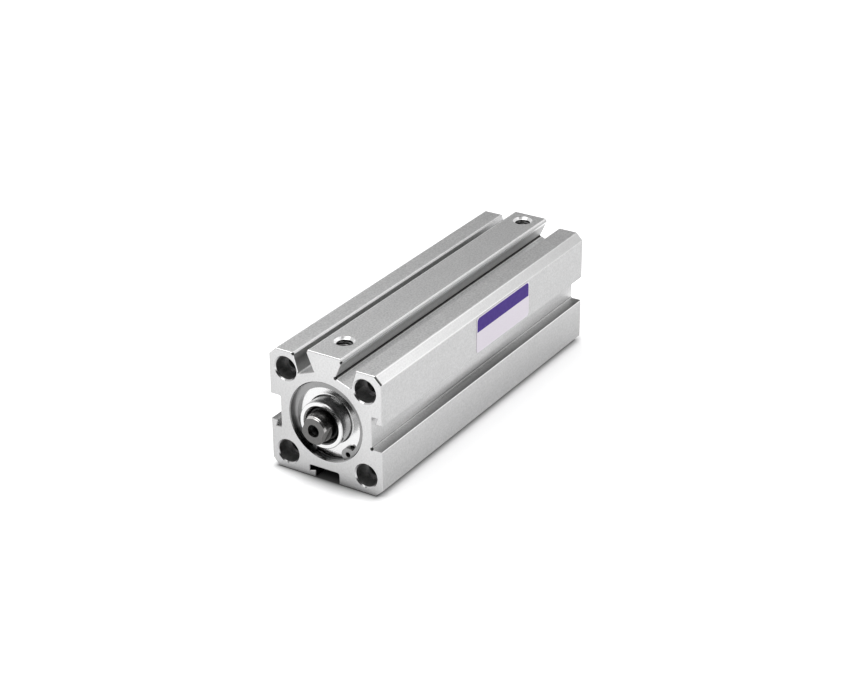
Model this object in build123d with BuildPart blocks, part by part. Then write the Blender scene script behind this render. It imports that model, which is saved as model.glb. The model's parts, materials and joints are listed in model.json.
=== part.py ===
from build123d import *
from math import cos, radians, sin
import os

os.makedirs("parts", exist_ok=True)

# Compact pneumatic cylinder, bore 20, stroke 75. All sizes are millimetres.
# The rod axis is X and the rod comes out along +X. The front mounting face is at X = 0.
# The two ports are on top (+Z), the label is on the +Y side, and the rod is drawn fully in.

# Duty sizes
stroke = 75.0
bore_d = 20.0
rod_d = 8.0
rod_reach = 5.5

# Fits, as radial or side clearances
running_gap = 0.03
land_gap = 0.10
seat_gap = 0.03
groove_gap = 0.05
thread_gap = 0.05

# Margins of the modelling itself: how far a cut runs past a face, and when two places agree
overcut = 1.0
agree = 0.01

# Body extrusion
side = 34.0
corner_chamfer = 2.0
end_break = 0.15
land_height = 2.0
land_top_width = 10.0
land_wide_width = 10.6
land_wide_drop = 0.8
land_neck_width = 6.4
slot_neck_z = 13.4
slot_foot_z = 11.6
slot_foot_width = 16.0
slot_mouth_width = 19.0
slot_corner_r = 0.4

# Sensor grooves in the two sides and the underside
groove_depth = 3.1
groove_plain_half = 3.7
groove_lip_half = 3.6
undercut_half = 5.4
lip_root = 1.9
lip_end = 1.4
groove_corner_r = 0.5

# Corner holes, threaded M5 past the counterbores
hole_pitch = 24.0
hole_d = 4.2
counterbore_d = 6.3
counterbore_depth = 4.5
counterbore_chamfer = 0.35

# Ports, threaded M5 down from the land
front_port_x = 9.3
rear_port_x = 4.8
port_d = 4.2
port_mouth_d = 5.6
port_depth = 5.5
passage_d = 2.0
rear_passage_shift = 1.05

# Counterbores at the two ends of the bore, with their retaining ring grooves
recess_d = 22.0
rim_chamfer = 0.25
front_rim = 1.3
rear_rim = 0.9
ring_groove_d = 23.0
ring_groove_width = 1.1

# Retaining rings
ring_thickness = 1.0
ring_inner_d = 19.1
ring_inner_drop = 0.5
lug_angle = 34.5
lug_place_r = 10.4
lug_d = 4.2
eyelet_place_r = 10.1
eyelet_d = 1.45

# Front cover
plug_length = 5.2
nose_d = 16.0
nose_length = 2.2
boss_d = 13.0
boss_reach = 2.0
boss_chamfer = 0.2
boss_foot_r = 0.5
mouth_d = 10.0
mouth_chamfer = 0.4
mouth_length = 1.1
seal_groove_d = 11.6
seal_groove_width = 2.8
shoulder_d = 8.6
shoulder_length = 0.6

# Rod seal and bush
seal_lip_depth = 1.1
seal_heel = 0.9
seal_notch_half = 0.3
seal_relief = 0.22
bush_d = 10.0

# Static seals of the two covers
cover_groove_d = 19.6
front_o_ring_width = 2.0
rear_o_ring_width = 1.7
o_ring_flat = 0.07

# Rear cover
rear_cover_thickness = 2.7
cover_edge_chamfer = 0.25
dish_d = 12.0
dish_depth = 0.5

# End bumpers
front_bumper_d = 14.0
front_bumper_bore = 10.4
front_bumper_seat = 1.0
front_bumper_stand = 1.3
rear_bumper_d = 15.0
rear_bumper_bore = 8.0
rear_bumper_seat = 0.7
rear_bumper_stand = 1.5
bumper_round = 0.3

# Piston
piston_length = 7.2
piston_chamfer = 0.3
wear_groove_place = 1.3
wear_groove_width = 2.2
wear_ring_thickness = 1.2
seal_place = 4.5
seal_width = 2.0
piston_seal_depth = 2.3
seal_waist = 0.35
hub_d = 10.0

# Magnet and its clamp, with how far each stays off the bore wall
washer_thickness = 0.3
washer_wall_gap = 1.0
magnet_length = 2.8
magnet_wall_gap = 0.7
holder_thickness = 1.8
holder_wall_gap = 0.4

# Rod details
tip_chamfer = 0.5
flat_width = 6.0
flat_length = 2.5
flat_tilt = -25.0
rod_thread_d = 3.3
rod_thread_chamfer = 0.1
rod_thread_depth = 10.0
spigot_d = 6.0
spigot_gap = 0.2
spigot_groove_place = 3.0
spigot_groove_width = 1.4
spigot_groove_d = 4.6

# Piston screw, M3 countersunk
screw_d = 3.0
screw_head_d = 5.5
screw_head_rim = 0.2
screw_sink = 0.1
screw_length = 8.0
screw_hole_extra = 1.0
socket_width = 2.0
socket_depth = 0.9

# Label
label_front = 45.7
label_top_drop = 2.4
label_length = 27.8
label_height = 10.4
label_thickness = 0.1
label_corner_r = 1.0

# Places along the axis that follow from the sizes above
front_cover_x = -(front_rim + ring_thickness)
front_step_x = front_cover_x - plug_length
nose_end_x = front_step_x - nose_length
piston_out_x = nose_end_x - front_bumper_stand
piston_x = piston_out_x - stroke
hub_x = piston_x - piston_length
hub_length = washer_thickness + magnet_length + washer_thickness
holder_x = hub_x - hub_length
pack_end_x = holder_x - holder_thickness
rear_step_x = pack_end_x - rear_bumper_stand
rear_cover_x = rear_step_x - rear_cover_thickness
rear_x = rear_cover_x - ring_thickness - rear_rim
body_length = -rear_x
land_z = side / 2 + land_height
front_port = -front_port_x
rear_port = rear_x + rear_port_x
boss_face_x = boss_reach
seal_front_x = boss_face_x - mouth_length
seal_back_x = seal_front_x - seal_groove_width
bush_front_x = seal_back_x - shoulder_length
bumper_seat_x = nose_end_x + front_bumper_seat
bush_length = bush_front_x - bumper_seat_x
recess_r = recess_d / 2
plug_r = recess_r - seat_gap
front_o_ring_x = (front_cover_x + front_step_x) / 2
rear_o_ring_x = (rear_cover_x + rear_step_x) / 2
cover_groove_r = cover_groove_d / 2
piston_r = bore_d / 2 - land_gap
ring_seal_r = bore_d / 2 - running_gap
spigot_end_x = holder_x + spigot_gap


def groove_outline(turn, hand):
    """Corners of a sensor groove, turned about the axis from the +Y side; hand flips the lip."""
    face = side / 2
    corners = [
        (face + overcut, -groove_plain_half),
        (face - groove_depth, -groove_plain_half),
        (face - groove_depth, undercut_half),
        (face - lip_end, undercut_half),
        (face - lip_root, groove_lip_half),
        (face + overcut, groove_lip_half),
    ]
    c, s = cos(radians(turn)), sin(radians(turn))
    return [(y * c - hand * z * s, y * s + hand * z * c) for y, z in corners]


def turned_ring(x_mid, width, inner_r, outer_r, round_r):
    """A ring about the rod axis with a rounded rectangular section."""
    with BuildPart() as ring:
        with BuildSketch(Plane.XY):
            with Locations((x_mid, (inner_r + outer_r) / 2)):
                RectangleRounded(width, outer_r - inner_r, round_r)
        revolve(axis=Axis.X)
    return ring.part


def o_ring(x_mid, groove_width, inner_r, outer_r):
    """A static seal in a groove of that width, round but for the flats that it is pressed to."""
    round_r = (outer_r - inner_r - o_ring_flat) / 2
    return turned_ring(x_mid, groove_width - 2 * groove_gap, inner_r, outer_r, round_r)


def retaining_ring(x_low):
    """An internal retaining ring with two eyelet lugs at the bottom, lying from x_low forwards."""
    outer_r = ring_groove_d / 2 - groove_gap
    lugs = [(s * sin(radians(lug_angle)), -cos(radians(lug_angle))) for s in (-1, 1)]
    with BuildPart() as ring:
        with BuildSketch(Plane.YZ.offset(x_low)):
            Circle(outer_r)
            with Locations((0, -ring_inner_drop)):
                Circle(ring_inner_d / 2, mode=Mode.SUBTRACT)
            with BuildLine():
                Polyline((0, 0), *[(y * ring_groove_d, z * ring_groove_d) for y, z in lugs], close=True)
            make_face(mode=Mode.SUBTRACT)
            with Locations(*[(y * lug_place_r, z * lug_place_r) for y, z in lugs]):
                Circle(lug_d / 2)
            Circle(outer_r, mode=Mode.INTERSECT)
            with Locations(*[(y * eyelet_place_r, z * eyelet_place_r) for y, z in lugs]):
                Circle(eyelet_d / 2, mode=Mode.SUBTRACT)
        extrude(amount=ring_thickness)
    return ring.part


def rim_circles(part, x, radius):
    """The circular edges of a part that lie in the plane at x and have the given radius."""
    circles = part.edges().filter_by(GeomType.CIRCLE)
    circles = circles.filter_by(lambda e: abs(e.center().X - x) < agree)
    return circles.filter_by(lambda e: abs(e.radius - radius) < agree)


# Body: the extruded section, the stepped bore, the corner holes and the ports
with BuildPart() as cylinder_body:
    with BuildSketch(Plane.YZ.offset(rear_x)) as section:
        Rectangle(side, side)
        chamfer(section.vertices(), corner_chamfer)
        with BuildLine():
            Polyline(
                (-slot_mouth_width / 2, side / 2),
                (-slot_foot_width / 2, slot_foot_z),
                (-land_neck_width / 2, slot_neck_z),
                (land_neck_width / 2, slot_neck_z),
                (slot_foot_width / 2, slot_foot_z),
                (slot_mouth_width / 2, side / 2),
                close=True,
            )
        make_face(mode=Mode.SUBTRACT)
        with BuildLine():
            Polyline(
                (-land_neck_width / 2, slot_neck_z),
                (-land_wide_width / 2, land_z - land_wide_drop),
                (-land_top_width / 2, land_z),
                (land_top_width / 2, land_z),
                (land_wide_width / 2, land_z - land_wide_drop),
                (land_neck_width / 2, slot_neck_z),
                close=True,
            )
        make_face()
        for turn, hand in ((0, 1), (180, 1), (-90, -1)):
            with BuildLine():
                Polyline(*groove_outline(turn, hand), close=True)
            make_face(mode=Mode.SUBTRACT)
        floor = side / 2 - groove_depth
        slot_feet = section.vertices().filter_by(lambda v: abs(v.Y - slot_foot_z) < agree)
        fillet(slot_feet, slot_corner_r)
        on_floor = section.vertices().filter_by(lambda v: abs(max(abs(v.X), abs(v.Y)) - floor) < agree)
        fillet(on_floor, groove_corner_r)
    extrude(amount=body_length)
    end_faces = cylinder_body.faces().filter_by(Axis.X)
    chamfer([e for f in end_faces for e in f.outer_wire().edges()], end_break)

    with BuildSketch(Plane.XY):
        with BuildLine():
            Polyline(
                (0, 0),
                (0, recess_r + rim_chamfer),
                (-rim_chamfer, recess_r),
                (-front_rim, recess_r),
                (-front_rim, ring_groove_d / 2),
                (-front_rim - ring_groove_width, ring_groove_d / 2),
                (-front_rim - ring_groove_width, recess_r),
                (front_step_x, recess_r),
                (front_step_x, bore_d / 2),
                (rear_step_x, bore_d / 2),
                (rear_step_x, recess_r),
                (rear_x + rear_rim + ring_groove_width, recess_r),
                (rear_x + rear_rim + ring_groove_width, ring_groove_d / 2),
                (rear_x + rear_rim, ring_groove_d / 2),
                (rear_x + rear_rim, recess_r),
                (rear_x + rim_chamfer, recess_r),
                (rear_x, recess_r + rim_chamfer),
                (rear_x, 0),
                close=True,
            )
        make_face()
    revolve(axis=Axis.X, mode=Mode.SUBTRACT)

    front_plane = Plane.YZ
    rear_plane = Plane(origin=(rear_x, 0, 0), x_dir=(0, 1, 0), z_dir=(-1, 0, 0))
    for end_plane in (front_plane, rear_plane):
        with Locations(end_plane):
            with GridLocations(hole_pitch, hole_pitch, 2, 2):
                chamfer_r = counterbore_d / 2 + counterbore_chamfer
                CounterSinkHole(counterbore_d / 2, chamfer_r, counterbore_depth, counter_sink_angle=90)
                Hole(hole_d / 2, depth=body_length)

    with Locations((front_port, 0, land_z), (rear_port, 0, land_z)):
        CounterSinkHole(port_d / 2, port_mouth_d / 2, depth=port_depth, counter_sink_angle=90)
    with Locations((front_port, 0, land_z), (rear_port + rear_passage_shift, 0, land_z)):
        Hole(passage_d / 2, depth=land_z - bore_d / 2 + passage_d / 2)

# Front cover: plug, boss and nose, bored for the seal, the bush and the bumper
with BuildPart() as front_cover:
    with BuildSketch(Plane.XY):
        with BuildLine():
            Polyline(
                (boss_face_x, mouth_d / 2 + mouth_chamfer),
                (boss_face_x, boss_d / 2 - boss_chamfer),
                (boss_face_x - boss_chamfer, boss_d / 2),
                (front_cover_x, boss_d / 2),
                (front_cover_x, plug_r - cover_edge_chamfer),
                (front_cover_x - cover_edge_chamfer, plug_r),
                (front_o_ring_x + front_o_ring_width / 2, plug_r),
                (front_o_ring_x + front_o_ring_width / 2, cover_groove_r),
                (front_o_ring_x - front_o_ring_width / 2, cover_groove_r),
                (front_o_ring_x - front_o_ring_width / 2, plug_r),
                (front_step_x, plug_r),
                (front_step_x, nose_d / 2),
                (nose_end_x, nose_d / 2),
                (nose_end_x, front_bumper_d / 2 + seat_gap),
                (bumper_seat_x, front_bumper_d / 2 + seat_gap),
                (bumper_seat_x, bush_d / 2),
                (bush_front_x, bush_d / 2),
                (bush_front_x, shoulder_d / 2),
                (seal_back_x, shoulder_d / 2),
                (seal_back_x, seal_groove_d / 2),
                (seal_front_x, seal_groove_d / 2),
                (seal_front_x, mouth_d / 2),
                (boss_face_x - mouth_chamfer, mouth_d / 2),
                close=True,
            )
        make_face()
    revolve(axis=Axis.X)
    fillet(rim_circles(front_cover, front_cover_x, boss_d / 2), boss_foot_r)

with BuildPart() as front_cover_o_ring:
    add(o_ring(front_o_ring_x, front_o_ring_width, cover_groove_r, plug_r))

# Rod seal: a lip seal with its wiping lip towards the front and its pressure lip inwards
with BuildPart() as rod_seal:
    with BuildSketch(Plane.XY):
        seal_inner_r = rod_d / 2 + running_gap
        seal_outer_r = seal_groove_d / 2 - seat_gap
        lip_mid_r = (seal_inner_r + seal_outer_r) / 2
        seal_nose_x = seal_front_x - groove_gap
        seal_tail_x = seal_back_x + groove_gap
        with BuildLine():
            Polyline(
                (seal_nose_x, seal_outer_r),
                (seal_nose_x, lip_mid_r),
                (seal_nose_x - seal_lip_depth / 2, lip_mid_r - seal_notch_half),
                (seal_nose_x, seal_inner_r + seal_notch_half),
                (seal_nose_x, seal_inner_r),
                (seal_nose_x - seal_heel / 2, seal_inner_r),
                (seal_nose_x - seal_heel, seal_inner_r + seal_relief),
                (seal_tail_x + seal_heel, seal_inner_r + seal_relief),
                (seal_tail_x, seal_inner_r),
                (seal_tail_x, lip_mid_r - seal_notch_half),
                (seal_tail_x + seal_lip_depth, lip_mid_r),
                (seal_tail_x, lip_mid_r + seal_notch_half),
                (seal_tail_x, seal_outer_r),
                close=True,
            )
        make_face()
    revolve(axis=Axis.X)

with BuildPart() as rod_bush:
    with BuildSketch(Plane.YZ.offset(bumper_seat_x)):
        Circle(bush_d / 2)
        Circle(rod_d / 2 + running_gap, mode=Mode.SUBTRACT)
    extrude(amount=bush_length)

with BuildPart() as front_retaining_ring:
    add(retaining_ring(front_cover_x))

with BuildPart() as front_bumper:
    add(
        turned_ring(
            (bumper_seat_x + piston_out_x) / 2,
            bumper_seat_x - piston_out_x,
            front_bumper_bore / 2,
            front_bumper_d / 2,
            bumper_round,
        )
    )

# Rear cover: a disc with a static seal groove, a shallow dish outside and the bumper seat inside
with BuildPart() as rear_cover:
    with BuildSketch(Plane.XY):
        with BuildLine():
            Polyline(
                (rear_step_x, rear_bumper_d / 2 + seat_gap),
                (rear_step_x, plug_r),
                (rear_o_ring_x + rear_o_ring_width / 2, plug_r),
                (rear_o_ring_x + rear_o_ring_width / 2, cover_groove_r),
                (rear_o_ring_x - rear_o_ring_width / 2, cover_groove_r),
                (rear_o_ring_x - rear_o_ring_width / 2, plug_r),
                (rear_cover_x + cover_edge_chamfer, plug_r),
                (rear_cover_x, plug_r - cover_edge_chamfer),
                (rear_cover_x, dish_d / 2),
                (rear_cover_x + dish_depth, dish_d / 2 - dish_depth),
                (rear_cover_x + dish_depth, 0),
                (rear_step_x - rear_bumper_seat, 0),
                (rear_step_x - rear_bumper_seat, rear_bumper_d / 2 + seat_gap),
                close=True,
            )
        make_face()
    revolve(axis=Axis.X)

with BuildPart() as rear_cover_o_ring:
    add(o_ring(rear_o_ring_x, rear_o_ring_width, cover_groove_r, plug_r))

with BuildPart() as rear_retaining_ring:
    add(retaining_ring(rear_x + rear_rim))

with BuildPart() as rear_bumper:
    add(
        turned_ring(
            (pack_end_x + rear_step_x - rear_bumper_seat) / 2,
            pack_end_x - rear_step_x + rear_bumper_seat,
            rear_bumper_bore / 2,
            rear_bumper_d / 2,
            bumper_round,
        )
    )

# Piston rod: wrench flats and a threaded hole at the tip, a spigot with a seal groove at the piston
with BuildPart() as piston_rod:
    with BuildSketch(Plane.XY):
        with BuildLine():
            Polyline(
                (rod_reach, 0),
                (rod_reach, rod_d / 2 - tip_chamfer),
                (rod_reach - tip_chamfer, rod_d / 2),
                (piston_x, rod_d / 2),
                (piston_x, spigot_d / 2),
                (piston_x - spigot_groove_place, spigot_d / 2),
                (piston_x - spigot_groove_place, spigot_groove_d / 2),
                (piston_x - spigot_groove_place - spigot_groove_width, spigot_groove_d / 2),
                (piston_x - spigot_groove_place - spigot_groove_width, spigot_d / 2),
                (spigot_end_x, spigot_d / 2),
                (spigot_end_x, 0),
                close=True,
            )
        make_face()
    revolve(axis=Axis.X)
    with BuildSketch(Plane.YZ.offset(rod_reach - flat_length)):
        Circle(rod_d)
        Rectangle(flat_width, 2 * rod_d, rotation=flat_tilt, mode=Mode.SUBTRACT)
    extrude(amount=flat_length, mode=Mode.SUBTRACT)
    with Locations(Plane.YZ.offset(rod_reach)):
        thread_mouth_r = rod_thread_d / 2 + rod_thread_chamfer
        CounterSinkHole(rod_thread_d / 2, thread_mouth_r, depth=rod_thread_depth, counter_sink_angle=90)
    with Locations(Plane(origin=(spigot_end_x, 0, 0), z_dir=(-1, 0, 0))):
        Hole(screw_d / 2 + thread_gap, depth=screw_length + screw_hole_extra)

with BuildPart() as piston_o_ring:
    seal_x = piston_x - spigot_groove_place - spigot_groove_width / 2
    add(o_ring(seal_x, spigot_groove_width, spigot_groove_d / 2, spigot_d / 2))

# Piston: front land, wear ring groove, seal groove and the hub that carries the magnet
with BuildPart() as piston:
    with BuildSketch(Plane.XY):
        wear_front_x = piston_x - wear_groove_place
        seal_groove_x = piston_x - seal_place
        wear_floor_r = ring_seal_r - wear_ring_thickness - groove_gap
        seal_floor_r = ring_seal_r - piston_seal_depth
        with BuildLine():
            Polyline(
                (piston_x, spigot_d / 2 + seat_gap),
                (piston_x, piston_r - piston_chamfer),
                (piston_x - piston_chamfer, piston_r),
                (wear_front_x, piston_r),
                (wear_front_x, wear_floor_r),
                (wear_front_x - wear_groove_width, wear_floor_r),
                (wear_front_x - wear_groove_width, piston_r),
                (seal_groove_x, piston_r),
                (seal_groove_x, seal_floor_r),
                (seal_groove_x - seal_width, seal_floor_r),
                (seal_groove_x - seal_width, piston_r),
                (hub_x, piston_r),
                (hub_x, hub_d / 2),
                (holder_x, hub_d / 2),
                (holder_x, spigot_d / 2 + seat_gap),
                close=True,
            )
        make_face()
    revolve(axis=Axis.X)

with BuildPart() as wear_ring:
    with BuildSketch(Plane.YZ.offset(piston_x - wear_groove_place - groove_gap)):
        Circle(ring_seal_r)
        Circle(ring_seal_r - wear_ring_thickness, mode=Mode.SUBTRACT)
    extrude(amount=-(wear_groove_width - 2 * groove_gap))

# Piston seal: a ring with two lips at the bore and a waist between them
with BuildPart() as piston_seal:
    with BuildSketch(Plane.XY):
        lip_front_x = piston_x - seal_place - groove_gap
        lip_rear_x = piston_x - seal_place - seal_width + groove_gap
        lip_mid_x = (lip_front_x + lip_rear_x) / 2
        heel_r = ring_seal_r - piston_seal_depth + groove_gap
        with BuildLine():
            Polyline(
                (lip_front_x, heel_r),
                (lip_front_x, ring_seal_r - seal_waist),
                (lip_front_x - seal_waist, ring_seal_r),
                (lip_mid_x + seal_waist / 2, ring_seal_r - seal_waist),
                (lip_mid_x - seal_waist / 2, ring_seal_r - seal_waist),
                (lip_rear_x + seal_waist, ring_seal_r),
                (lip_rear_x, ring_seal_r - seal_waist),
                (lip_rear_x, heel_r),
                close=True,
            )
        make_face()
    revolve(axis=Axis.X)

# Magnet, its two washers and the end disc that clamps them on the hub
with BuildPart() as magnet:
    with BuildSketch(Plane.YZ.offset(hub_x - washer_thickness)):
        Circle(bore_d / 2 - magnet_wall_gap)
        Circle(hub_d / 2 + seat_gap, mode=Mode.SUBTRACT)
    extrude(amount=-magnet_length)

with BuildPart() as magnet_washers:
    for washer_x in (hub_x, hub_x - washer_thickness - magnet_length):
        with BuildSketch(Plane.YZ.offset(washer_x)):
            Circle(bore_d / 2 - washer_wall_gap)
            Circle(hub_d / 2 + seat_gap, mode=Mode.SUBTRACT)
        extrude(amount=-washer_thickness)

with BuildPart() as magnet_holder:
    with BuildSketch(Plane.YZ.offset(pack_end_x)):
        Circle(bore_d / 2 - holder_wall_gap)
    extrude(amount=holder_thickness)
    with Locations(Plane(origin=(pack_end_x, 0, 0), z_dir=(-1, 0, 0))):
        sink_r = screw_head_d / 2 + screw_head_rim + screw_sink
        CounterSinkHole(screw_d / 2 + thread_gap, sink_r, counter_sink_angle=90)

with BuildPart() as piston_screw:
    with BuildSketch(Plane.XY):
        head_x = pack_end_x + screw_sink
        cone_x = head_x + screw_head_rim
        neck_x = cone_x + (screw_head_d - screw_d) / 2
        with BuildLine():
            Polyline(
                (head_x, 0),
                (head_x, screw_head_d / 2),
                (cone_x, screw_head_d / 2),
                (neck_x, screw_d / 2),
                (holder_x + screw_length, screw_d / 2),
                (holder_x + screw_length, 0),
                close=True,
            )
        make_face()
    revolve(axis=Axis.X)
    with BuildSketch(Plane.YZ.offset(head_x)):
        RegularPolygon(socket_width / 2, 6, major_radius=False)
    extrude(amount=socket_depth, mode=Mode.SUBTRACT)

# Label on the +Y side, between the top corner and the sensor groove
with BuildPart() as label:
    with BuildSketch(Plane.XZ.offset(-side / 2)):
        with Locations((-label_front - label_length / 2, side / 2 - label_top_drop - label_height / 2)):
            RectangleRounded(label_length, label_height, label_corner_r)
    extrude(amount=-label_thickness)

pieces = {
    "cylinder_body": cylinder_body,
    "front_cover": front_cover,
    "front_cover_o_ring": front_cover_o_ring,
    "rod_seal": rod_seal,
    "rod_bush": rod_bush,
    "front_retaining_ring": front_retaining_ring,
    "front_bumper": front_bumper,
    "rear_cover": rear_cover,
    "rear_cover_o_ring": rear_cover_o_ring,
    "rear_retaining_ring": rear_retaining_ring,
    "rear_bumper": rear_bumper,
    "piston_rod": piston_rod,
    "piston_o_ring": piston_o_ring,
    "piston": piston,
    "wear_ring": wear_ring,
    "piston_seal": piston_seal,
    "magnet": magnet,
    "magnet_washers": magnet_washers,
    "magnet_holder": magnet_holder,
    "piston_screw": piston_screw,
    "label": label,
}
for name, piece in pieces.items():
    piece.part.label = name
    export_step(piece.part, f"parts/{name}.step")
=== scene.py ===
"""Looks, threads, light and camera for the compact pneumatic cylinder, around its CAD nodes."""
import json
import math
from types import SimpleNamespace

import bpy
import bmesh
from mathutils import Matrix, Vector


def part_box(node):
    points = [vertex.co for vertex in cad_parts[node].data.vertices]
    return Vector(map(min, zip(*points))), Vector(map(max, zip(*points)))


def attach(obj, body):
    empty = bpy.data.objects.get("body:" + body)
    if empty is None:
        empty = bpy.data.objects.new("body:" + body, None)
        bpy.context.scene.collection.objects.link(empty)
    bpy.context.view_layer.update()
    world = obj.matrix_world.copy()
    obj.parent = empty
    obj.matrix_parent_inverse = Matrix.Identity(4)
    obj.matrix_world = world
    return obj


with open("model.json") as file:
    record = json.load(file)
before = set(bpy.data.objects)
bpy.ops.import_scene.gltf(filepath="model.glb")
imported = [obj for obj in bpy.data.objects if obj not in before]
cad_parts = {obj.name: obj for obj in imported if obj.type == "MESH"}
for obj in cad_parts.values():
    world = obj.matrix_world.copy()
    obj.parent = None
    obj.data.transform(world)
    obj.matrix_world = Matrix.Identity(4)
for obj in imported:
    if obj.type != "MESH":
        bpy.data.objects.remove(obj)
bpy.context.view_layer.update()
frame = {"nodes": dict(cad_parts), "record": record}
nodes = frame["nodes"]
MM = 0.001

# Measures of the solids, in millimetres. X runs along the rod and is 0 in the front face.
BODY_X = (-104.4, -0.1)
HALF_SIDE = 17.0
BEVEL_FROM = 15.0
LAND_TOP = 19.0
LAND_HALF = 5.0
NECK_HALF, NECK_Z = 3.2, 13.4
SLOT_HALF = 9.5
GROOVE_LIP = 3.7
UNDERCUT_HALF = 5.4
HOLE_AT = 12.0
HOLE_R = 2.1
COUNTERBORE_R = 3.15
RING_GROOVE_R = 11.5
PORTS = {"front": -9.3, "rear": -99.7}
ROD_THREAD_R = 1.65
FLAT_TILT, FLAT_HALF, FLAT_BACK = -25.0, 3.0, 3.0
COVER_CORNER_X = -1.75

# Thread ridges: their ends along the hole, pitch and height in millimetres, half widths as shares
# of the pitch, and steps a turn
PORT_THREAD = (13.9, 18.1)
CORNER_THREADS = {"front": (-17.0, -4.85), "rear": (-99.65, -87.5)}
THREAD_PITCH, THREAD_HEIGHT = 0.8, 0.26
ROD_THREAD = (-4.1, 5.15)
ROD_THREAD_PITCH, ROD_THREAD_HEIGHT = 0.7, 0.22
RIDGE_FOOT, RIDGE_CREST = 0.44, 0.06
PORT_STEPS, HOLE_STEPS = 36, 28
SHARP_ANGLE = math.radians(30)

# The label's violet band in millimetres, and two shades of each colour
LABEL_MARGIN, LABEL_CORNER_R, LABEL_EDGE = 0.30, 1.1, 0.02
LABEL_BAND_LOW = 10.2
LABEL_FIELD = ((231, 224, 234), (236, 231, 238))
LABEL_VIOLET = ((74, 49, 140), (82, 57, 150))

# Where looks change along the rod, in millimetres: ground rod, middle of the grooves' painted light and shade,
# painted edge highlights
GROUND_FROM = -0.6
DULL_MIDDLE = -47.0
DULL_REACH = (10.0, 32.0)
WEAR_X = (-85.0, -20.0)

# Painted shade, as y, z, radius, width of the soft edge and what is left of the tone
# On the cover: black in the ring's eyelets, the lug's shadow beside them, and a dark reflection at the upper
# right
BEHIND_RING = (
    (5.72, -8.32, 0.95, 0.25, 0.04),
    (-5.72, -8.32, 0.95, 0.25, 0.04),
    (6.5, -6.6, 0.80, 0.25, 0.08),
    (7.1, -5.9, 0.60, 0.25, 0.25),
    (3.9, 6.9, 3.4, 2.4, 0.62),
)
# On the retaining ring: painted shade low on its left
ON_RING = ((-5.9, -8.7, 2.5, 0.6, 0.22), (-8.2, -6.2, 2.2, 0.6, 0.40), (-9.9, -3.4, 2.0, 0.6, 0.70))

# Long edges with a painted highlight, as y, z, half width, and how much of the highlight is left at the rear
WORN_EDGES = (
    (LAND_HALF, LAND_TOP, 0.26, 0.75),
    (BEVEL_FROM, HALF_SIDE, 0.20, 0.35),
    (HALF_SIDE, BEVEL_FROM, 0.10, 0.35),
)

# Painted shade where long edges meet the front face, as y and z
NICKS = ((5.25, 18.1), (-9.5, 16.85), (3.3, 13.35), (13.9, -3.7))
NICK_X, NICK_R, NICK_FADE = -0.12, 0.38, 0.20

# Rightward on the ground, as the photograph's camera sees it
SCREEN_RIGHT = (-0.5316, 0.847, 0.0)

# Limits of a metal's tone
BRIGHTEST, DARKEST = 0.97, 0.01

# Noise patterns: scale per metre, detail, roughness, and the stretch of those that run one way
BLASTED = (2100.0, 2.0, 0.6)
CLOUDED = (160.0, 3.0, 0.5)
DRAWN = (1.0, 2.0, 0.5, (25.0, 2600.0, 2600.0))
SAWN = (1.0, 2.0, 0.5, (900.0, 420.0, 3800.0))
MILLED = (1.0, 3.0, 0.6, (5200.0, 500.0, 500.0))
WANDERING = (700.0, 2.0, 0.5)
TURNED_PATCHES = (420.0, 4.0, 0.6)
ROD_PATCHES = (900.0, 4.0, 0.6)
STEEL_GRAIN = (3600.0, 3.0, 0.6)
STEEL_PATCHES = (500.0, 3.0, 0.5)
MOULDED = (2600.0, 3.0, 0.6)
FILM_FIBRE = (2400.0, 3.0, 0.6)
FILM_INK = (900.0, 3.0, 0.6)

# Feed of the rod's turning in millimetres, and how deep each relief seems, in metres
ROD_FEED = 0.30
FRONT_ROUND, EDGE_ROUND = 0.00016, 0.00018
GRAIN_DEPTH, STEEL_DEPTH, FEED_DEPTH = 0.00004, 0.00003, 0.00002

# Floor in millimetres, and how strongly its paper is lifted towards white
FLOOR_Z, FLOOR_GAP = -17.0, 0.02
HALF_FOOT = 15.0
# CONTACT_DEPTH and CONTACT set a painted contact shadow in the paper's colour
PAPER, CONTACT_DEPTH, CONTACT = 0.90, 0.92, 1.3
SIDE_LIFT, END_LIFT = 1.7, 0.7
LIFT, LIFT_REACH = 0.42, 7.0
FAR_FROM, FAR_SLOPE, FAR_LIFT = 300.0, 0.0008, 0.5

# Stage, in metres
MIDDLE = (-0.05, 0.0, 0.0)
FLOOR_SIZE = (8.0, 8.0)
BACK_CARD_SIZE, BACK_CARD_AT = (1.9, 1.2), (-1.25, -0.78, 0.85)
FRONT_CARD_SIZE, FRONT_CARD_AWAY, FRONT_CARD_Z = (0.42, 0.60), 0.69, 0.39
DARK_AZIMUTHS = (-24.0, 3.0, 30.0, 57.0, 84.0)
FELT_COLOR, FELT_ROUGH = (0.03, 0.03, 0.03, 1.0), 0.9
LAMPS = (
    ("lamp_top", (1.0, 1.0), (-0.25, -0.55, 1.25), 7.0),
    ("lamp_front", (0.9, 0.72), (0.50, -0.06, 1.14), 4.4),
    ("lamp_right", (1.0, 0.8), (-0.35, 1.3, 0.75), 1.5),
)
ROOM_COLOR, ROOM_STRENGTH = (0.95, 0.95, 0.96, 1.0), 0.55
BACKDROP_COLOR, BACKDROP_STRENGTH = (1.0, 1.0, 1.0, 1.0), 1.0

# Camera at the photograph's viewing angle, in degrees, millimetres and pixels; its range in metres
AZIMUTH, ELEVATION, ROLL = 122.115218, 26.7914816, -0.198441928
ACROSS, UPWARD, AWAY = 26.3675875, 18.264387, 513.465756
FOCAL_PX, WIDTH_PX, SENSOR_MM = 2033.31768, 860.0, 36.0
NEAREST, FARTHEST = 0.01, 50.0


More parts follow.
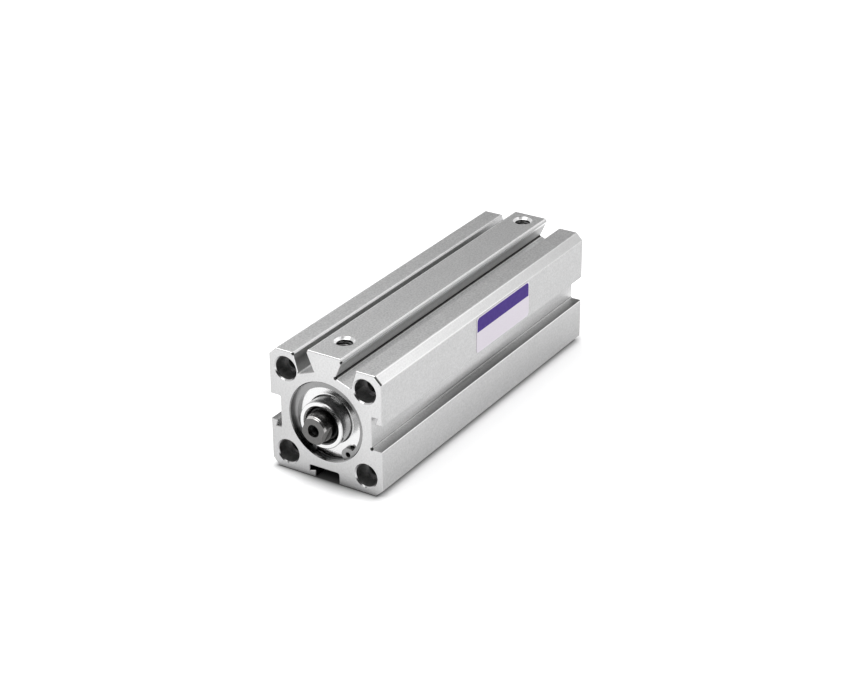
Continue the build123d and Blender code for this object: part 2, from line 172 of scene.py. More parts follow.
# Node helpers
class Graph:
    """A node tree, with short calls for the nodes used here."""

    def __init__(self, tree):
        self.tree = tree
        tree.nodes.clear()

    def put(self, socket, value):
        if isinstance(value, bpy.types.NodeSocket):
            self.tree.links.new(value, socket)
        else:
            socket.default_value = value

    def node(self, kind, *values, operation=None):
        node = self.tree.nodes.new(kind)
        if operation:
            node.operation = operation
        for socket, value in zip(node.inputs, values):
            self.put(socket, value)
        return node

    def math(self, operation, *values):
        return self.node("ShaderNodeMath", *values, operation=operation).outputs[0]

    def plus(self, first, *others):
        for other in others:
            first = self.math("ADD", first, other)
        return first

    def times(self, first, *others):
        for other in others:
            first = self.math("MULTIPLY", first, other)
        return first

    def minus(self, a, b):
        return self.math("SUBTRACT", a, b)

    def size(self, value):
        return self.math("ABSOLUTE", value)

    def lower(self, a, b):
        return self.math("MINIMUM", a, b)

    def higher(self, a, b):
        return self.math("MAXIMUM", a, b)

    def vector(self, operation, *values):
        node = self.node("ShaderNodeVectorMath", *values, operation=operation)
        return node.outputs[1] if operation in ("LENGTH", "DOT_PRODUCT", "DISTANCE") else node.outputs[0]

    def split(self, vector):
        return self.node("ShaderNodeSeparateXYZ", vector).outputs

    def join(self, x, y, z):
        return self.node("ShaderNodeCombineXYZ", x, y, z).outputs[0]

    def length(self, x, y, z):
        return self.vector("LENGTH", self.join(x, y, z))

    def span(self, value, low, high, to_low=0.0, to_high=1.0, smooth=False):
        node = self.node("ShaderNodeMapRange", value, low, high, to_low, to_high)
        node.interpolation_type = "SMOOTHSTEP" if smooth else "LINEAR"
        return node.outputs[0]

    def above(self, value, limit, fade):
        """1 above the limit, fading to 0 just below it."""
        return self.span(value, limit - fade, limit)

    def below(self, value, limit, fade):
        """1 below the limit, fading to 0 just above it."""
        return self.span(value, limit + fade, limit)

    def pick(self, mask, off, on):
        """One value where the mask is 0, and the other where it is 1."""
        return self.span(mask, 0.0, 1.0, off, on)

    def where(self, value, mask, factor):
        """The value, times the factor where the mask is 1."""
        return self.times(value, self.pick(mask, 1.0, factor))

    def swing(self, pattern, amount):
        """A pattern around a half, as a swing around nothing."""
        return self.times(self.minus(pattern, 0.5), amount)


class Surface(Graph):
    """A material with one principled shader; its place is the object's own, in millimetres."""

    def __init__(self, name):
        self.material = bpy.data.materials.new(name)
        self.material.use_nodes = True
        super().__init__(self.material.node_tree)
        self.shader = self.node("ShaderNodeBsdfPrincipled")
        self.node("ShaderNodeOutputMaterial", self.shader.outputs[0])
        coords = self.node("ShaderNodeTexCoord")
        self.metres = coords.outputs["Object"]
        self.facing = coords.outputs["Normal"]
        self.place = self.vector("DIVIDE", self.metres, (MM, MM, MM))

    def noise(self, scale, detail, rough, stretch=(1, 1, 1)):
        node = self.node("ShaderNodeTexNoise")
        self.put(node.inputs["Vector"], self.vector("MULTIPLY", self.metres, stretch))
        node.inputs["Scale"].default_value = scale
        node.inputs["Detail"].default_value = detail
        node.inputs["Roughness"].default_value = rough
        return node.outputs["Fac"]

    def blend(self, factor, a, b):
        node = self.tree.nodes.new("ShaderNodeMix")
        node.data_type = "RGBA"
        for index, value in ((0, factor), (6, a), (7, b)):
            self.put(node.inputs[index], value)
        return node.outputs[2]

    def gray(self, value, tint=(1.0, 1.0, 1.0)):
        return self.join(*(self.times(value, part) for part in tint))

    def soil(self, value, marks, mask=1.0, wander=0.0):
        """Dims the value at each mark: painted shade."""
        _, y, z = self.split(self.place)
        across = self.join(0.0, y, z)
        for mark_y, mark_z, mark_r, soft, left in marks:
            away = self.plus(self.vector("DISTANCE", across, (0.0, mark_y, mark_z)), wander)
            value = self.where(value, self.times(self.below(away, mark_r - soft, soft), mask), left)
        return value

    def bump(self, height, strength, distance):
        """Relief on top of any relief that is already there."""
        node = self.tree.nodes.new("ShaderNodeBump")
        normal = self.shader.inputs["Normal"]
        if normal.is_linked:
            self.put(node.inputs["Normal"], normal.links[0].from_socket)
        node.inputs["Strength"].default_value = strength
        node.inputs["Distance"].default_value = distance
        self.put(node.inputs["Height"], height)
        self.put(normal, node.outputs[0])

    def finish(self, color, rough, metallic, **constants):
        self.put(self.shader.inputs["Base Color"], color)
        self.put(self.shader.inputs["Roughness"], rough)
        self.put(self.shader.inputs["Metallic"], metallic)
        for name, value in constants.items():
            self.shader.inputs[name.replace("_", " ")].default_value = value
        return self.material


def rgb(r, g, b):
    """A colour written in 0..255 as it shows on a screen."""
    def linear(c):
        c /= 255.0
        return c / 12.92 if c <= 0.04045 else ((c + 0.055) / 1.055) ** 2.4
    return (linear(r), linear(g), linear(b), 1.0)


# The body
def body_places(g):
    """Masks for the places of the extrusion, each 1 inside its place and 0 outside."""
    at = SimpleNamespace()
    at.x, at.y, at.z = x, y, z = g.split(g.place)
    nx, ny, at.up = g.split(g.facing)
    flat_x, flat_y = g.size(nx), g.size(ny)
    at.away_y = away_y = g.size(y)
    away_z = g.size(z)
    at.section = g.join(0.0, y, z)
    at.half_section = g.join(0.0, away_y, z)

    # End faces, faces along the rod, side panels, cut cones and bevels
    at.end = g.above(flat_x, 0.95, 0.10)
    at.along = g.below(flat_x, 0.4, 0.2)
    at.panel = g.above(flat_y, 0.95, 0.10)
    at.cone = g.times(g.above(flat_x, 0.6, 0.1), g.below(flat_x, 0.78, 0.07))
    at.bevel = g.times(g.above(g.lower(flat_y, at.up), 0.68, 0.06), g.above(away_z, BEVEL_FROM, 0.2))
    at.bevel_end = g.times(at.bevel, g.above(x, -0.45, 0.30))
    at.top = g.above(at.up, 0.95, 0.05)

    # Corner holes, and the bore with painted shade low on the left and painted light low on the right
    from_hole = g.length(0.0, g.minus(away_y, HOLE_AT), g.minus(away_z, HOLE_AT))
    hole = g.below(from_hole, COUNTERBORE_R + 0.05, 0.15)
    at.in_hole = g.times(hole, g.below(flat_x, 0.6, 0.15))
    at.hole_floor = g.times(hole, at.end)
    at.in_bore = g.times(g.below(g.length(0.0, y, z), RING_GROOVE_R + 0.1, 0.15), g.below(flat_x, 0.8, 0.1))
    at.low_left = g.times(g.span(y, 4.0, -3.0), g.span(z, -1.0, -5.0))
    at.low_right = g.times(g.span(y, -1.0, 4.0), g.span(z, -5.0, -9.0))

    # Ports, with the chamfer of the mouth and a painted dark reflection in the middle of it, as the camera sees
    # it
    from_front, from_rear = (g.length(g.minus(x, port_x), y, 0.0) for port_x in PORTS.values())
    from_port = g.lower(from_front, from_rear)
    between = sum(PORTS.values()) / 2
    near_port_x = g.span(x, between - 0.1, between, PORTS["rear"], PORTS["front"])
    sideways = g.vector("DOT_PRODUCT", g.join(g.minus(x, near_port_x), y, 0.0), SCREEN_RIGHT)
    at.in_port = g.times(g.below(from_port, HOLE_R + 0.05, 0.07), g.below(z, 18.3, 0.1), g.above(z, 13.3, 0.2))
    at.mouth = g.times(g.below(from_port, 2.85, 0.05), g.below(at.up, 0.80, 0.05), g.above(z, 18.2, 0.1))
    smudge = g.times(g.above(sideways, -0.8, 0.3), g.below(sideways, 0.2, 0.3), g.above(from_port, 2.35, 0.1))
    at.smudge = g.times(smudge, at.mouth)
    at.cut = g.higher(at.cone, at.mouth)

    # Sensor grooves in the sides and the underside, and the slots beside the land
    in_depth = g.times(g.below(away_y, HALF_SIDE - 0.15, 0.07), g.above(away_y, 13.2, 0.2))
    at.side_groove = g.times(in_depth, g.below(away_z, UNDERCUT_HALF + 0.1, 0.1), at.along)
    in_depth = g.times(g.above(z, 0.15 - HALF_SIDE, 0.07), g.below(z, -13.2, 0.2))
    at.under_groove = g.times(in_depth, g.below(away_y, UNDERCUT_HALF + 0.1, 0.1), at.along)
    in_width = g.times(g.above(away_y, NECK_HALF - 0.05, 0.05), g.below(away_y, SLOT_HALF + 0.1, 0.15))
    at.slot = g.times(in_width, g.above(z, 11.2, 0.2), at.along)
    at.slot_side = g.times(at.slot, g.below(at.up, 0.45, 0.15), g.below(z, 18.1, 0.1))
    land_rim = g.times(g.below(away_y, LAND_HALF + 0.45, 0.05), g.above(z, 18.2, 0.2))
    at.land_rim = g.times(land_rim, g.below(at.up, 0.45, 0.15), at.along)

    # The foot of the land: painted shade in the crease, and a painted highlight beside it on the slot's floor
    foot = g.vector("DISTANCE", at.half_section, (0.0, NECK_HALF, NECK_Z))
    at.joint = g.times(g.below(foot, 0.32, 0.18), at.along)
    beside = g.times(g.above(foot, 0.55, 0.10), g.below(foot, 0.70, 0.15), g.above(at.up, 0.8, 0.2))
    at.beside_joint = g.times(beside, at.slot)
    return at


def groove_tone(g, at):
    """Painted light and shade in the side grooves: a bright wall with a darker fillet, and a ledge that is
    darkest far inside.
    """
    on_ledge = g.above(at.up, 0.96, 0.06)
    in_fillet = g.times(g.above(at.up, 0.05, 0.046), g.below(at.up, 0.90, 0.06))
    wall = g.where(g.span(at.z, 0.1, -2.9, 1.0, 1.33), in_fillet, 0.50)
    ledge = g.span(at.away_y, 14.2, 16.6, 0.80, 0.40)
    off_middle = g.size(g.minus(at.x, DULL_MIDDLE))
    upper = g.span(at.z, -1.0, -2.2, g.span(off_middle, *DULL_REACH, 1.20, 1.0), 1.0)
    lower = g.span(at.z, -2.6, -3.2, 1.0, g.span(off_middle, *DULL_REACH, 0.64, 1.0))
    return g.times(g.pick(on_ledge, wall, ledge), upper, lower, g.span(at.x, -80.0, -20.0, 1.03, 1.06))


def worn_edges(g, at):
    """Painted highlights along long edges, brighter towards the front."""
    worn = 0.0
    for edge_y, edge_z, wide, rear in WORN_EDGES:
        near = g.vector("DISTANCE", at.half_section, (0.0, edge_y, edge_z))
        worn = g.higher(worn, g.times(g.below(near, wide, 0.14), g.span(at.x, *WEAR_X, rear, 1.0)))
    near = g.vector("DISTANCE", at.section, (0.0, -SLOT_HALF, HALF_SIDE))
    worn = g.higher(worn, g.times(g.below(near, 0.34, 0.28), g.span(at.x, *WEAR_X, 0.45, 1.0)))
    near = g.vector("DISTANCE", at.half_section, (0.0, HALF_SIDE, -GROOVE_LIP))
    worn = g.higher(worn, g.times(g.below(near, 0.25, 0.15), at.panel))
    return g.times(worn, at.along)


def body_relief(g, at, grain, lines, cuts):
    """Rounded edges that catch the light, and the fine relief of each finish."""
    top_end = g.times(at.top, g.above(at.z, HALF_SIDE - 0.1, 0.1))
    g.bump(g.times(top_end, g.span(at.x, -0.42, -0.10, 1.0, 0.0)), 1.0, FRONT_ROUND)
    land_edge = g.times(g.above(at.y, LAND_HALF, 0.32), g.above(at.z, LAND_TOP - 0.1, 0.1), at.top)
    slot_edge = g.times(g.above(at.y, -SLOT_HALF, 0.34), g.below(at.y, -8.0, 1.0), top_end)
    wall_edge = g.span(at.z, HALF_SIDE - 0.38, HALF_SIDE, 0.0, 1.5)
    wall_edge = g.times(wall_edge, g.below(at.y, -8.5, 0.5), at.slot_side)
    g.bump(g.minus(1.5, g.plus(land_edge, slot_edge, wall_edge)), 1.0, EDGE_ROUND)
    blasted = g.plus(g.times(grain, 0.6), g.times(lines, 0.4))
    machined = g.plus(g.times(grain, 0.5), g.times(cuts, 0.6))
    g.bump(g.where(g.pick(at.end, blasted, machined), at.cut, 0.0), 0.35, GRAIN_DEPTH)


def body_metal():
    """Clear anodised extrusion: blasted grain, machined ends, cut bores, with painted edge highlights and painted
    light and shade.
    """
    g = Surface("anodised_extrusion")
    at = body_places(g)
    x, y, z = at.x, at.y, at.z
    grain, cloud, lines, cuts = (g.noise(*pattern) for pattern in (BLASTED, CLOUDED, DRAWN, SAWN))

    # Grain, which is weaker on panels, ends, bevels and cut cones
    speckle = g.minus(g.minus(0.50, g.times(at.panel, 0.12)), g.times(at.end, 0.22))
    speckle = g.where(g.where(speckle, at.cut, 0.1), at.bevel, 0.4)
    tone = g.plus(0.71, g.swing(grain, speckle), g.swing(cloud, 0.06), g.swing(lines, 0.08))

    # The tone of each place, as a factor; most are painted light and shade
    end_tone = g.times(g.span(z, -15.0, 15.0, 0.75, 0.84), g.span(y, -HALF_SIDE, 12.0, 0.89, 1.05))
    panel_tone = g.times(g.span(z, -GROOVE_LIP, -15.0, 0.725, 0.64), g.span(x, -95.0, -20.0, 0.93, 1.0))
    bore_tone = g.times(g.pick(at.low_left, 0.42, 0.14), g.pick(at.low_right, 1.0, 1.7))
    slot_tone = g.span(at.away_y, 8.5, 9.0, 0.78, g.span(z, 15.0, 16.0, 0.45, 0.95))
    for mask, factor in (
        # Painted shade: the front face lighter towards the top and the right
        (at.end, end_tone),
        # Painted light: tops brighter towards the front
        (g.above(at.up, 0.95, 0.15), g.span(x, -95.0, -30.0, 1.03, 1.09)),
        # Painted shade: panels darker towards the bottom and the rear
        (at.panel, panel_tone),
        # Painted highlight: the bevel brighter towards the front
        (at.bevel, g.span(x, -95.0, -12.0, 0.82, 1.20)),
        (at.cone, 0.72),
        # Painted shade and light in the corner holes and the bore
        (at.in_hole, 0.60),
        (at.hole_floor, 0.55),
        (at.in_bore, bore_tone),
        # Painted shade inside the ports
        (at.in_port, 0.05),
        (at.mouth, 1.25),
        (at.smudge, 0.45),
        # Painted light and shade in the grooves
        (at.side_groove, groove_tone(g, at)),
        (at.under_groove, 0.12),
        # Painted shade in the slots and under the land's rim, with a painted highlight near the slots' top edges
        (at.slot_side, g.times(slot_tone, g.span(z, 17.1, 18.0, 1.0, 2.3))),
        (at.land_rim, 0.88),
    ):
        tone = g.where(tone, mask, factor)

    # Painted highlights on edges and beside the land's foot; painted shade in its crease, at the bevel's front
    # and at the front face's corners
    tone = g.plus(tone, g.times(worn_edges(g, at), 0.26))
    tone = g.where(tone, at.joint, 0.15)
    tone = g.plus(tone, g.times(at.beside_joint, 0.22))
    tone = g.where(tone, at.bevel_end, 0.12)
    for nick_y, nick_z in NICKS:
        near = g.vector("DISTANCE", g.place, (NICK_X, nick_y, nick_z))
        tone = g.where(tone, g.below(near, NICK_R, NICK_FADE), 0.05)
    tone = g.higher(g.lower(tone, BRIGHTEST), DARKEST)

    rough = g.plus(g.pick(at.end, 0.40, 0.34), g.times(grain, 0.08))
    for mask, factor in ((at.in_bore, g.pick(at.low_right, 0.55, 1.25)), (at.cone, 0.40), (at.mouth, 0.80)):
        rough = g.where(rough, mask, factor)
    body_relief(g, at, grain, lines, cuts)
    return g.finish(g.gray(tone), rough, 1.0)


# The other materials
def turned_metal(name, tone, spacing, rough, depth=0.3, side_tone=1.0, corner_x=None, marks=()):
    """Turned metal: rings on the end faces and feed marks on the outsides, spacing in millimetres.

    The marks of painted shade lie on the end faces. Fillets behind corner_x are darkened as painted shade.
    """
    g = Surface(name)
    x, y, z = g.split(g.place)
    nx = g.size(g.split(g.facing)[0])
    face = g.above(nx, 0.9, 0.3)
    wander = g.times(g.noise(*WANDERING), 0.35)
    turns = 2.0 * math.pi / spacing
    on_face = g.math("SINE", g.plus(g.times(g.length(0.0, y, z), turns), wander))
    on_side = g.math("SINE", g.plus(g.times(x, turns), wander))
    rings = g.pick(face, on_side, on_face)
    patches = g.noise(*TURNED_PATCHES)
    value = g.plus(tone, g.swing(patches, 0.12 * tone), g.times(rings, 0.03 * tone))
    value = g.times(value, g.pick(face, side_tone, 1.0))
    if corner_x is not None:
        # Painted shade in the fillets behind corner_x
        corner = g.times(g.above(nx, 0.35, 0.20), g.below(nx, 0.90, 0.08), g.below(x, corner_x, 0.1))
        value = g.where(value, corner, 0.38)
    value = g.soil(g.lower(value, BRIGHTEST), marks, face)
    g.bump(g.plus(g.times(rings, 0.5), g.times(patches, 0.2)), depth, FEED_DEPTH)
    return g.finish(g.gray(value), g.plus(rough, g.swing(patches, 0.10)), 1.0)


def rod_metal():
    """The rod: ground bright, with a dark turned tip, a painted highlight on top of the tip chamfer, and milled
    wrench flats.
    """
    g = Surface("turned_rod")
    x, y, z = g.split(g.place)
    nx = g.size(g.split(g.facing)[0])
    face = g.above(nx, 0.95, 0.15)
    radius = g.length(0.0, y, z)
    ground = g.below(x, GROUND_FROM - 0.1, 0.1)
    cone = g.times(g.above(nx, 0.6, 0.1), g.below(nx, 0.8, 0.05), g.above(radius, 3.3, 0.3))
    in_thread = g.times(g.below(radius, ROD_THREAD_R + 0.03, 0.04), g.below(nx, 0.6, 0.2))
    tilt = math.radians(FLAT_TILT)
    across = g.size(g.vector("DOT_PRODUCT", g.place, (0.0, math.cos(tilt), math.sin(tilt))))
    flat = g.times(g.below(across, FLAT_HALF + 0.02, 0.04), g.above(across, FLAT_HALF - 0.02, 0.04))
    flat = g.times(flat, g.above(x, FLAT_BACK + 0.05, 0.05), g.below(nx, 0.3, 0.1))

    turns = 2.0 * math.pi / ROD_FEED
    wander = g.times(g.noise(*WANDERING), 0.6)
    feed = g.math("SINE", g.plus(g.times(x, turns), wander))
    rings = g.math("SINE", g.plus(g.times(radius, turns), wander))
    milled = g.noise(*MILLED)
    patches = g.noise(*ROD_PATCHES)

    on_face = g.plus(0.13, g.swing(patches, 0.06), g.times(rings, face, 0.006))
    # Painted shade on the tip's side: lighter towards the top and the left
    tip_side = g.span(g.minus(z, y), 0.5, 4.2, 0.08, 0.26)
    on_side = g.plus(g.pick(ground, tip_side, 0.52), g.times(feed, g.pick(ground, 0.03, 0.0)))
    value = g.pick(face, on_side, on_face)
    value = g.plus(value, g.times(flat, g.plus(0.26, g.swing(milled, 0.12))))
    # Painted highlight on the upper part of the tip chamfer
    value = g.plus(value, g.times(cone, g.span(z, -0.3, 1.7, 0.04, 0.34)))
    # Painted shade in the threaded hole
    value = g.where(value, in_thread, 0.12)
    rough = g.plus(g.pick(cone, 0.26, 0.20), g.swing(patches, 0.10), g.times(flat, 0.30))
    rough = g.where(rough, ground, 0.70)
    height = g.plus(g.times(feed, 0.6), g.times(patches, 0.3))
    g.bump(g.where(height, ground, 0.15), 0.4, FEED_DEPTH)
    return g.finish(g.gray(value, (1.0, 0.985, 0.97)), rough, 1.0)


def dull_steel(name, tone, rough, tint=(1.0, 1.0, 1.0), marks=()):
    """Phosphated or plated metal with a fine stamped grain; the edges of its marks of painted shade wander."""
    g = Surface(name)
    grain = g.noise(*STEEL_GRAIN)
    patches = g.noise(*STEEL_PATCHES)
    value = g.plus(tone, g.swing(grain, 0.35 * tone), g.swing(patches, 0.25 * tone))
    if marks:
        value = g.soil(value, marks, wander=g.swing(patches, 0.6))
    g.bump(grain, 0.3, STEEL_DEPTH)
    return g.finish(g.gray(value, tint), g.plus(rough, g.swing(patches, 0.15)), 1.0)


def soft_stuff(name, color, rough, spread=0.25):
    """Rubber, plastic or urethane with a moulded grain."""
    g = Surface(name)
    grain = g.noise(*MOULDED)
    shade = g.span(grain, 0.3, 0.7, 1.0 - spread, 1.0 + spread)
    value = g.vector("MULTIPLY", color[:3], g.join(shade, shade, shade))
    g.bump(grain, 0.25, GRAIN_DEPTH)
    return g.finish(value, g.plus(rough, g.swing(grain, 0.2)), 0.0)


def label_film():
    """Printed film: a violet band with rounded top corners over a pale field, print left bare."""
    g = Surface("label_film")
    x, _, z = g.split(g.place)
    low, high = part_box("label")
    middle_x = (low.x + high.x) / 2 / MM
    half_x = (high.x - low.x) / 2 / MM - LABEL_MARGIN - LABEL_CORNER_R
    top = high.z / MM - LABEL_MARGIN - LABEL_CORNER_R
    away_x = g.higher(g.minus(g.size(g.minus(x, middle_x)), half_x), 0.0)
    away_z = g.higher(g.minus(z, top), 0.0)
    inside = g.below(g.length(away_x, away_z, 0.0), LABEL_CORNER_R - LABEL_EDGE, 2 * LABEL_EDGE)
    band = g.times(inside, g.above(z, LABEL_BAND_LOW + LABEL_EDGE, 2 * LABEL_EDGE))
    fibre = g.noise(*FILM_FIBRE)
    ink = g.noise(*FILM_INK)
    field = g.blend(g.span(fibre, 0.3, 0.7), *(rgb(*color) for color in LABEL_FIELD))
    violet = g.blend(g.span(ink, 0.3, 0.7), *(rgb(*color) for color in LABEL_VIOLET))
    rough = g.plus(g.pick(band, 0.42, 0.34), g.swing(fibre, 0.12))
    g.bump(fibre, 0.15, FEED_DEPTH)
    return g.finish(g.blend(band, field, violet), rough, g.pick(band, 0.25, 0.0), Specular_IOR_Level=0.05)


made = {
    "body_aluminium": body_metal(),
    # The cover's turned outsides are dimmed to 0.54 of its tone: a painted dark reflection
    "cover_aluminium": turned_metal(
        "turned_cover", 0.71, 0.22, 0.19, depth=0.10, side_tone=0.54, corner_x=COVER_CORNER_X, marks=BEHIND_RING),
    "rear_cover_aluminium": turned_metal("turned_rear_cover", 0.78, 0.25, 0.30),
    "piston_aluminium": turned_metal("turned_piston", 0.76, 0.20, 0.28),
    "rod_steel": rod_metal(),
    # Painted shade low on the left of the retaining ring
    "spring_steel": dull_steel("spring_steel", 0.28, 0.36, marks=ON_RING),
    "screw_steel": dull_steel("screw_steel", 0.42, 0.34, (1.0, 1.0, 1.03)),
    "bush_bronze": dull_steel("bush_bronze", 0.55, 0.42, (1.0, 0.78, 0.48)),
    "magnet_ferrite": dull_steel("magnet_ferrite", 0.10, 0.55),
    "seal_rubber": soft_stuff("seal_rubber", rgb(28, 27, 27), 0.42),
    "rod_seal_rubber": soft_stuff("rod_seal_rubber", rgb(14, 13, 13), 0.48),
    "wear_plastic": soft_stuff("wear_plastic", rgb(228, 224, 208), 0.45, 0.05),
    "bumper_urethane": soft_stuff("bumper_urethane", rgb(206, 168, 92), 0.38, 0.08),
    "label_film": label_film(),
}
# The threads' tones lie far below their metals': painted shade inside the holes
made_threads = {
    "body_aluminium": turned_metal("cut_thread", 0.15, 0.12, 0.28),
    "rod_steel": turned_metal("rod_thread", 0.03, 0.12, 0.45),
}
slot_of = {part["node"]: part["material_slot"] for part in frame["record"]["subparts"]}
for name, node in nodes.items():
    if not node.data.materials:
        node.data.materials.append(made[slot_of[name]])
    for index in range(len(node.data.materials)):
        node.material_slots[index].material = made[slot_of[name]]


# Threads, which the solids leave as plain holes at the tap-drill size
def add(name, data):
    """A new object in the scene's own collection."""
    obj = bpy.data.objects.new(name, data)
    bpy.context.scene.collection.objects.link(obj)
    return obj


def helix_ridge(name, origin, axes, radius, height, pitch, ends, body, slot, steps):
    """A ridge that winds right-handed inside a hole, along the third axis, in so many steps a turn."""
    a, b, c = (Vector(v) for v in axes)
    start, end = ends
    foot, crest = RIDGE_FOOT * pitch, RIDGE_CREST * pitch
    count = int(abs(end - start) / pitch * steps)
    mesh = bmesh.new()
    rows = []
    for i in range(count + 1):
        angle = 2 * math.pi * i / steps
        along = start + pitch * i / steps
        inner = radius - height * min(1.0, i / steps, (count - i) / steps)
        out = a * math.cos(angle) + b * math.sin(angle)
        section = ((radius, -foot), (inner, -crest), (inner, crest), (radius, foot))
        rows.append([mesh.verts.new((Vector(origin) + out * r + c * (along + s)) * MM) for r, s in section])
    for low, high in zip(rows, rows[1:]):
        for k in range(4):
            mesh.faces.new((low[k], low[(k + 1) % 4], high[(k + 1) % 4], high[k]))
    mesh.faces.new(rows[0])
    mesh.faces.new(rows[-1][::-1])
    bmesh.ops.recalc_face_normals(mesh, faces=mesh.faces)
    for edge in mesh.edges:
        edge.smooth = len(edge.link_faces) == 2 and edge.calc_face_angle(0.0) < SHARP_ANGLE
    for face in mesh.faces:
        face.smooth = True
    data = bpy.data.meshes.new(name)
    mesh.to_mesh(data)
    mesh.free()
    obj = add(name, data)
    data.materials.append(made_threads[slot])
    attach(obj, body)


along_x = ((0, 1, 0), (0, 0, 1), (1, 0, 0))
along_z = ((1, 0, 0), (0, 1, 0), (0, 0, 1))
tapped = (HOLE_R, THREAD_HEIGHT, THREAD_PITCH)
for end_name, port_x in PORTS.items():
    helix_ridge(f"port_thread_{end_name}", (port_x, 0, 0), along_z, *tapped, PORT_THREAD,
                "barrel", "body_aluminium", PORT_STEPS)
for end_name, ends in CORNER_THREADS.items():
    for corner, (sy, sz) in enumerate(((1, 1), (-1, 1), (-1, -1), (1, -1)), 1):
        centre = (0, sy * HOLE_AT, sz * HOLE_AT)
        helix_ridge(f"corner_thread_{end_name}_{corner}", centre, along_x, *tapped, ends,
                    "barrel", "body_aluminium", HOLE_STEPS)
helix_ridge("rod_tip_thread", (0, 0, 0), along_x, ROD_THREAD_R, ROD_THREAD_HEIGHT, ROD_THREAD_PITCH, ROD_THREAD,
            "rod", "rod_steel", HOLE_STEPS)


# Floor, cards, lamps and room
def plane(name, size, centre, toward, material):
    """A flat rectangle on the stage, facing the given point."""
    data = bpy.data.meshes.new(name)
    w, h = size[0] / 2, size[1] / 2
    data.from_pydata([(-w, -h, 0), (w, -h, 0), (w, h, 0), (-w, h, 0)], [], [(0, 1, 2, 3)])
    data.materials.append(material)
    obj = add(name, data)
    obj.location = centre
    obj.rotation_mode = "QUATERNION"
    obj.rotation_quaternion = (Vector(toward) - Vector(centre)).to_track_quat("Z", "Y")
    return obj


def dark_card(name, size, centre, toward, felt):
    """A card that shows only as a dark reflection."""
    card = plane(name, size, centre, toward, felt)
    card.visible_camera = False
    card.visible_diffuse = False
    card.visible_shadow = False


def lamp(name, size, centre, power):
    """A soft box that lights the middle of the object."""
    data = bpy.data.lights.new(name, "AREA")
    data.shape = "RECTANGLE"
    data.size, data.size_y = size
    data.energy = power
    obj = add(name, data)
    obj.location = centre
    obj.rotation_mode = "QUATERNION"
    obj.rotation_quaternion = (Vector(centre) - Vector(MIDDLE)).to_track_quat("Z", "Y")


def seen_directly(g):
    """1 for what the camera, a reflection or a clear body shows; 0 for light falling on things."""
    rays = g.node("ShaderNodeLightPath").outputs
    return g.higher(g.higher(rays["Is Camera Ray"], rays["Is Glossy Ray"]), rays["Is Transmission Ray"])


def floor_paper():
    """Pale paper that shows white to the camera, but for a narrow shadow around the object, partly painted into
    the paper's colour.
    """
    material = bpy.data.materials.new("floor_paper")
    material.use_nodes = True
    g = Graph(material.node_tree)
    place = g.node("ShaderNodeNewGeometry").outputs["Position"]
    x, y, _ = g.split(g.vector("DIVIDE", place, (MM, MM, MM)))
    middle_x, half_x = (BODY_X[0] + BODY_X[1]) / 2, (BODY_X[1] - BODY_X[0]) / 2
    out_x = g.higher(g.minus(g.size(g.minus(x, middle_x)), half_x), 0.0)
    out_y = g.higher(g.minus(g.size(y), HALF_FOOT), 0.0)

    # Off the middle of the ends, the shadow is narrower
    off_middle = g.math("DIVIDE", g.minus(g.size(g.minus(y, 2.0)), 7.0), 8.0)
    end_lift = g.plus(1.0, g.times(END_LIFT, g.math("SMOOTH_MAX", off_middle, 0.0, 0.2)))
    away = g.length(g.times(out_x, end_lift), g.times(out_y, SIDE_LIFT), 0.0)
    # A painted contact shadow: the paper's own colour darkens close to the object
    close = g.math("POWER", math.e, g.math("DIVIDE", away, -CONTACT))
    pale = g.times(PAPER, g.minus(1.0, g.times(close, CONTACT_DEPTH)))
    near_lift = g.times(g.span(away, 0.0, LIFT_REACH, smooth=True), LIFT)
    far_lift = g.lower(g.times(g.higher(g.minus(away, FAR_FROM), 0.0), FAR_SLOPE), FAR_LIFT)
    paper = g.node("ShaderNodeBsdfDiffuse", pale)
    lift = g.node("ShaderNodeEmission")
    g.put(lift.inputs["Strength"], g.times(seen_directly(g), g.plus(near_lift, far_lift)))
    both = g.node("ShaderNodeAddShader", paper.outputs[0], lift.outputs[0])
    g.node("ShaderNodeOutputMaterial", both.outputs[0])
    return material


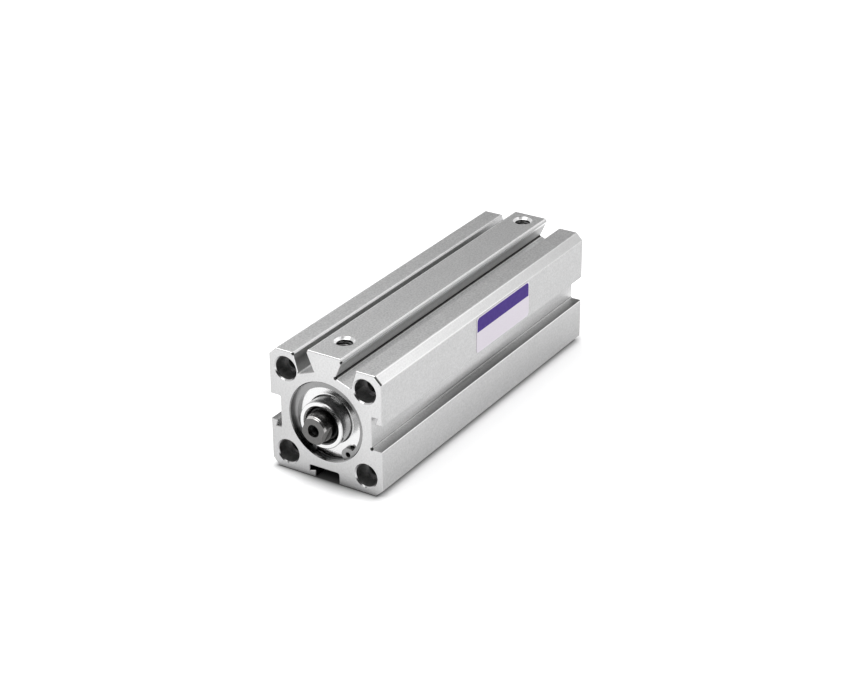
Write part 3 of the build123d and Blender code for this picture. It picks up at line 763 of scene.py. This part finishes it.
def card_felt():
    """Black felt for the cards."""
    material = bpy.data.materials.new("card_felt")
    material.use_nodes = True
    shader = material.node_tree.nodes["Principled BSDF"]
    shader.inputs["Base Color"].default_value = FELT_COLOR
    shader.inputs["Roughness"].default_value = FELT_ROUGH
    return material


def world_light():
    """A gray room for the light, and white for what is seen."""
    world = bpy.data.worlds.new("studio")
    bpy.context.scene.world = world
    world.use_nodes = True
    g = Graph(world.node_tree)
    room = g.node("ShaderNodeBackground", ROOM_COLOR, ROOM_STRENGTH)
    backdrop = g.node("ShaderNodeBackground", BACKDROP_COLOR, BACKDROP_STRENGTH)
    either = g.node("ShaderNodeMixShader", seen_directly(g), room.outputs[0], backdrop.outputs[0])
    g.node("ShaderNodeOutputWorld", either.outputs[0])


plane("floor", FLOOR_SIZE, (0.0, 0.0, (FLOOR_Z - FLOOR_GAP) * MM), (0.0, 0.0, 1.0), floor_paper())
felt = card_felt()
dark_card("card_back_left", BACK_CARD_SIZE, BACK_CARD_AT, MIDDLE, felt)
for number, azimuth in enumerate(DARK_AZIMUTHS, 1):
    turn = math.radians(azimuth)
    centre = (FRONT_CARD_AWAY * math.cos(turn), FRONT_CARD_AWAY * math.sin(turn), FRONT_CARD_Z)
    dark_card(f"card_behind_camera_{number}", FRONT_CARD_SIZE, centre, (0.0, 0.0, 0.0), felt)
for lamp_values in LAMPS:
    lamp(*lamp_values)
world_light()

# Camera
a, e, r = (math.radians(v) for v in (AZIMUTH, ELEVATION, ROLL))
back = Vector((math.sin(a) * math.cos(e), -math.cos(a) * math.cos(e), math.sin(e)))
right = Vector((0, 0, 1)).cross(back).normalized()
up = back.cross(right)
right, up = right * math.cos(r) + up * math.sin(r), up * math.cos(r) - right * math.sin(r)
view = bpy.data.cameras.new("photo_view")
view.sensor_width = SENSOR_MM
view.sensor_fit = "HORIZONTAL"
view.lens = FOCAL_PX / WIDTH_PX * view.sensor_width
view.clip_start, view.clip_end = NEAREST, FARTHEST
camera = add("photo_view", view)
rotation = Matrix((right, up, back)).transposed().to_4x4()
camera.matrix_world = Matrix.Translation((right * ACROSS + up * UPWARD + back * AWAY) * MM) @ rotation
bpy.context.scene.camera = camera
bpy.context.scene.view_settings.view_transform = "Standard"
